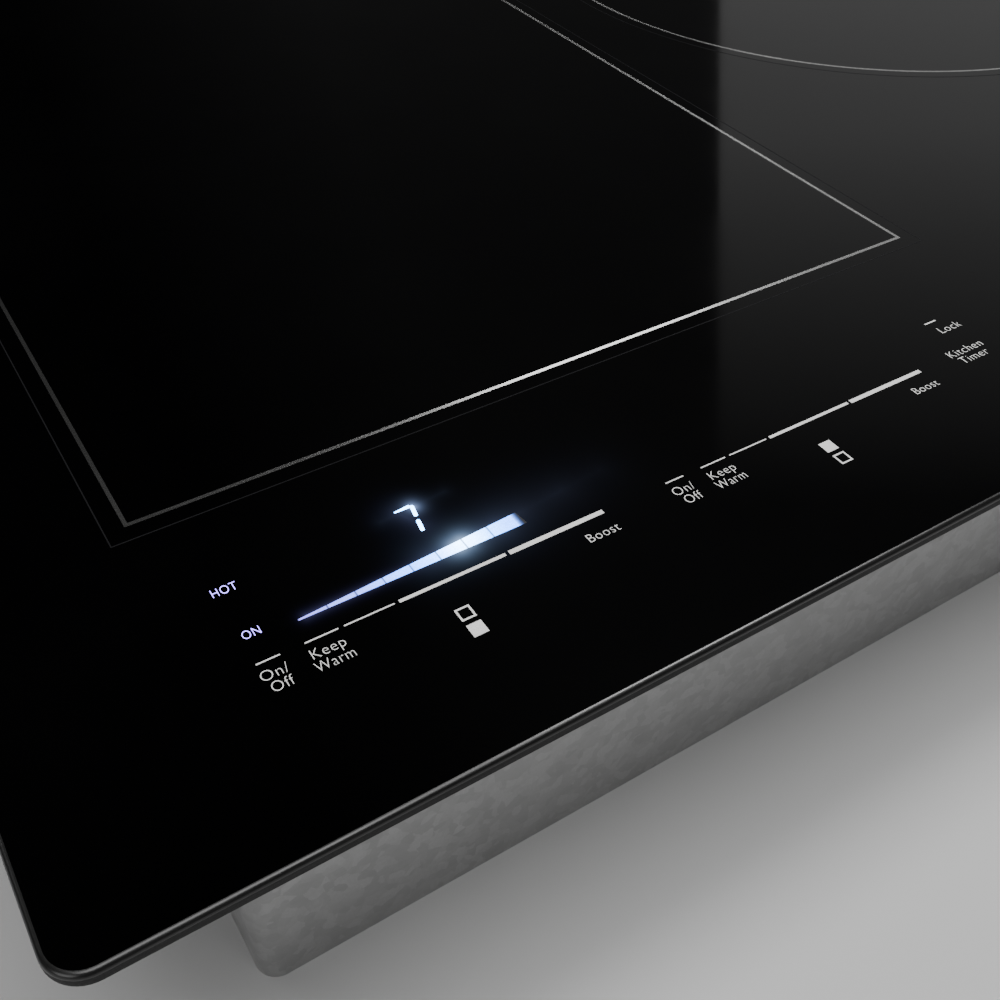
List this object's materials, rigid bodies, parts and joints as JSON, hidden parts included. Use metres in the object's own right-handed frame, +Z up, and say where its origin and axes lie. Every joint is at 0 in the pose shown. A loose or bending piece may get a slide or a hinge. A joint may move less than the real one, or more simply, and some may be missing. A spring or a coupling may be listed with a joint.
{
  "type": "electric induction cooktop",
  "caption": "Drop-in electric induction cooktop: black glass-ceramic pane with printed cooking zones and touch sliders, over a steel box with coils, power boards and blowers.",
  "frame": {"origin": "middle of the footprint on the underside of the steel box", "axes": "+X to the cook's right along the front edge, +Y away from the cook, +Z up out of the glass"},
  "size_m": [0.92, 0.54, 0.105],
  "materials": {
    "glass_ceramic": "polished black glass-ceramic with a ground edge",
    "silicone": "cured silicone",
    "foam": "closed-cell foam",
    "zinc_steel": "zinc-coated sheet steel",
    "screw_steel": "zinc-plated",
    "aluminium_plate": "mill finish",
    "spring_steel": "tempered",
    "moulded_plastic": "glass-filled, matt",
    "litz_copper": "enamelled copper strands",
    "ferrite": "sintered, matt",
    "mica": "pressed mica, satin",
    "ceramic_white": "unglazed",
    "black_plastic": "moulded, fine texture",
    "circuit_board": "solder mask",
    "motor_steel": "turned",
    "capacitor_case": "potted box",
    "white_plastic": "nylon",
    "terminal_brass": "plated",
    "cast_zinc": "die-cast",
    "light_guide": "diffusing",
    "cable_grey": "flat ribbon",
    "cable_heatproof": "glass-fibre braid",
    "printed_white": "ceramic ink fired onto the glass",
    "printed_silver": "lustre ink fired onto the glass",
    "lit_display": "light shining through the glass"
  },
  "bodies": {
    "chassis": {"glass_top": "glass_ceramic", "glass_adhesive": "silicone", "perimeter_gasket": "foam", "support_frame": "zinc_steel", "burner_box": "zinc_steel", "box_screws": "screw_steel", "coil_rail_front": "zinc_steel", "coil_rail_rear": "zinc_steel", "coil_plate_left": "aluminium_plate", "coil_plate_centre": "aluminium_plate", "coil_plate_right": "aluminium_plate", "plate_springs": "spring_steel", "coil_former_left_front": "moulded_plastic", "coil_winding_left_front": "litz_copper", "coil_former_left_rear": "moulded_plastic", "coil_winding_left_rear": "litz_copper", "coil_former_right_front": "moulded_plastic", "coil_winding_right_front": "litz_copper", "coil_former_right_rear": "moulded_plastic", "coil_winding_right_rear": "litz_copper", "coil_former_centre": "moulded_plastic", "coil_winding_centre": "litz_copper", "ferrite_bars": "ferrite", "mica_sheets": "mica", "temperature_sensors": "ceramic_white", "sensor_boots": "silicone", "blower_housing_left": "black_plastic", "power_board_left": "circuit_board", "heatsink_left": "aluminium_plate", "blower_housing_right": "black_plastic", "power_board_right": "circuit_board", "heatsink_right": "aluminium_plate", "blower_motors": "motor_steel", "air_ducts": "black_plastic", "transistors": "black_plastic", "film_capacitors": "capacitor_case", "chokes": "litz_copper", "board_standoffs": "white_plastic", "filter_board": "circuit_board", "terminal_block": "white_plastic", "terminal_screws": "terminal_brass", "terminal_cover": "zinc_steel", "conduit_fitting": "cast_zinc", "conduit_locknut": "zinc_steel", "control_carrier": "black_plastic", "control_board": "circuit_board", "display_modules": "black_plastic", "light_bars": "light_guide", "indicator_lamps": "light_guide", "touch_pads": "foam", "control_cable": "cable_grey", "coil_leads": "cable_heatproof", "clamp_brackets": "zinc_steel"},
    "blower_left": {"impeller_left": "black_plastic"},
    "blower_right": {"impeller_right": "black_plastic"},
    "clamp_foot_left": {"clamp_foot_left": "moulded_plastic"},
    "clamp_screw_left": {"clamp_screw_left": "screw_steel"},
    "clamp_foot_right": {"clamp_foot_right": "moulded_plastic"},
    "clamp_screw_right": {"clamp_screw_right": "screw_steel"}
  },
  "joints": [
    {"name": "blower_left_spin", "type": "hinge", "parent": "chassis", "child": "blower_left", "pos_m": [-0.32, -0.135, 0.02], "axis": [0, 0, 1], "continuous": true},
    {"name": "blower_right_spin", "type": "hinge", "parent": "chassis", "child": "blower_right", "pos_m": [0.32, -0.135, 0.02], "axis": [0, 0, 1], "continuous": true},
    {"name": "clamp_left_lift", "type": "slide", "parent": "chassis", "child": "clamp_foot_left", "axis": [0, 0, 1], "range_m": [0, 0.02]},
    {"name": "clamp_left_turn", "type": "hinge", "parent": "clamp_foot_left", "child": "clamp_screw_left", "pos_m": [-0.441, 0, 0.03], "axis": [0, 0, 1], "range_deg": [0, 7200]},
    {"name": "clamp_right_lift", "type": "slide", "parent": "chassis", "child": "clamp_foot_right", "axis": [0, 0, 1], "range_m": [0, 0.02]},
    {"name": "clamp_right_turn", "type": "hinge", "parent": "clamp_foot_right", "child": "clamp_screw_right", "pos_m": [0.441, 0, 0.03], "axis": [0, 0, 1], "range_deg": [0, 7200]}
  ],
  "couplings": [
    {"joint": "clamp_left_turn", "follows": "clamp_left_lift", "rad_per_m": 6283.2},
    {"joint": "clamp_right_turn", "follows": "clamp_right_lift", "rad_per_m": 6283.2}
  ]
}
